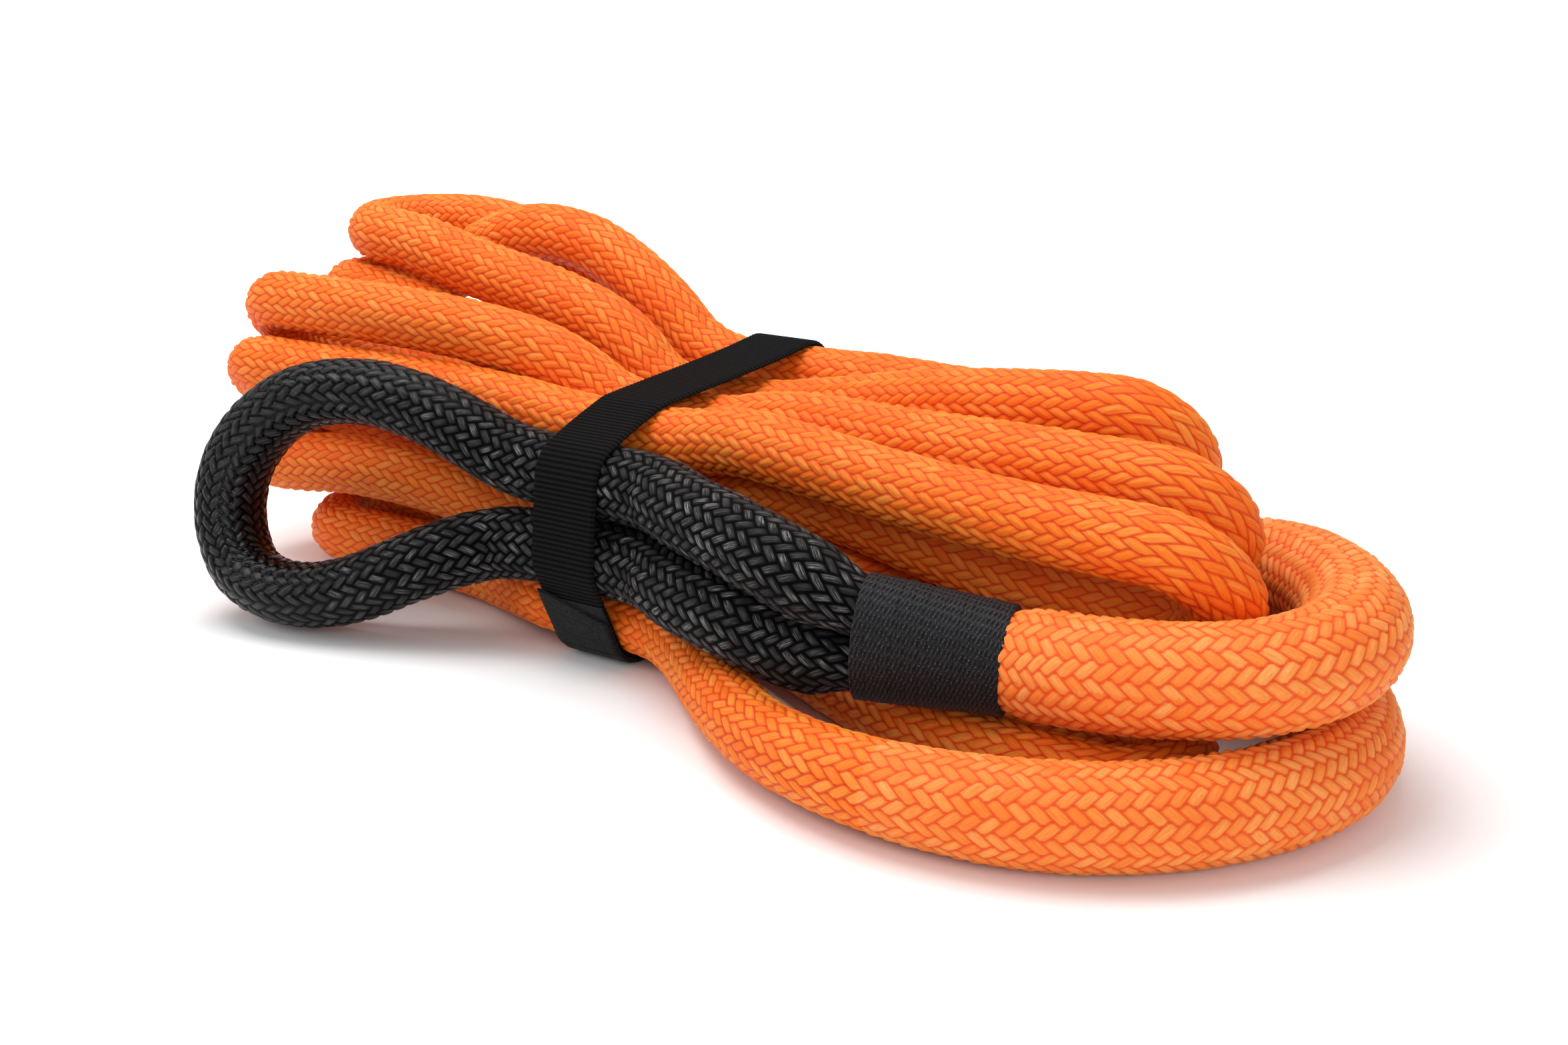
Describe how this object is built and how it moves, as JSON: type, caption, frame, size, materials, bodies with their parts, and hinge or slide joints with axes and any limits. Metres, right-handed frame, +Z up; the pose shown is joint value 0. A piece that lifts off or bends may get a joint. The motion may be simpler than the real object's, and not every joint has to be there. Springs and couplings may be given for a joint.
{
  "type": "recovery rope",
  "caption": "Double-braid recovery rope stowed as a hank, tied at the waist by a hook-and-loop strap, with a coated, whipped eye at each end.",
  "frame": {"origin": "middle of the bounding box, on the floor under the hank", "axes": "+X along the hank from the eyes to the splices, +Y from its front to its back, +Z up"},
  "size_m": [0.4518, 0.2256, 0.1312],
  "materials": {
    "rope_cover": "bright orange nylon cover braid, 20 strands each way, slightly glossy filaments",
    "splice_cover": "the same orange cover braid, stretched open over the buried tail of the splice",
    "rope_core": "undyed nylon core braid",
    "eye_cover": "coarse black braid with a worn polyurethane coating, glossy on the crowns",
    "whipping_twine": "black waxed whipping twine, tight windings",
    "strap_webbing": "black nylon webbing with fine cross ribs, matte",
    "strap_pile": "black fuzzy loop pile tape",
    "strap_hooks": "black moulded hook tape"
  },
  "bodies": {
    "hank": {"rope_start_cover": "rope_cover", "rope_start_core": "rope_core", "rope_left_1_cover": "rope_cover", "rope_left_1_core": "rope_core", "rope_right_1_cover": "rope_cover", "rope_right_1_core": "rope_core", "rope_left_2_cover": "rope_cover", "rope_left_2_core": "rope_core", "rope_right_2_cover": "rope_cover", "rope_right_2_core": "rope_core", "rope_left_3_cover": "rope_cover", "rope_left_3_core": "rope_core", "rope_right_3_cover": "rope_cover", "rope_right_3_core": "rope_core", "rope_left_4_cover": "rope_cover", "rope_left_4_core": "rope_core", "rope_right_4_cover": "rope_cover", "rope_right_4_core": "rope_core", "rope_left_5_cover": "rope_cover", "rope_left_5_core": "rope_core", "rope_right_5_cover": "rope_cover", "rope_right_5_core": "rope_core", "rope_left_6_cover": "rope_cover", "rope_left_6_core": "rope_core", "rope_right_6_cover": "rope_cover", "rope_right_6_core": "rope_core", "rope_left_7_cover": "rope_cover", "rope_left_7_core": "rope_core", "rope_finish_cover": "rope_cover", "rope_finish_core": "rope_core", "front_splice_cover": "splice_cover", "front_splice_core": "rope_core", "rear_splice_cover": "splice_cover", "rear_splice_core": "rope_core", "front_eye_upper_leg_cover": "eye_cover", "front_eye_upper_leg_core": "rope_core", "front_eye_lower_leg_cover": "eye_cover", "front_eye_lower_leg_core": "rope_core", "front_throat": "eye_cover", "front_whipping": "whipping_twine", "rear_eye_upper_leg_cover": "eye_cover", "rear_eye_upper_leg_core": "rope_core", "rear_eye_lower_leg_cover": "eye_cover", "rear_eye_lower_leg_core": "rope_core", "rear_throat": "eye_cover", "rear_whipping": "whipping_twine", "strap_webbing": "strap_webbing", "strap_pile_patch": "strap_pile", "strap_tail_root": "strap_pile"},
    "front_eye": {"front_eye_loop_cover": "eye_cover", "front_eye_loop_core": "rope_core"},
    "rear_eye": {"rear_eye_loop_cover": "eye_cover", "rear_eye_loop_core": "rope_core"},
    "strap_tail": {"strap_tail_hooks": "strap_hooks", "strap_tail_pile": "strap_pile"}
  },
  "joints": [
    {"name": "front_eye_swing", "type": "hinge", "parent": "hank", "child": "front_eye", "pos_m": [-0.04208, -0.05388, 0.0489], "axis": [0, 0, 1], "range_deg": [0, 30]},
    {"name": "rear_eye_swing", "type": "hinge", "parent": "hank", "child": "rear_eye", "pos_m": [-0.04208, 0.08842, 0.0269], "axis": [0, 0, -1], "range_deg": [0, 30]},
    {"name": "strap_tail_peel", "type": "hinge", "parent": "hank", "child": "strap_tail", "pos_m": [-0.02678, -0.04255, 0.00446], "axis": [1, 0, 0], "range_deg": [0, 60]}
  ]
}
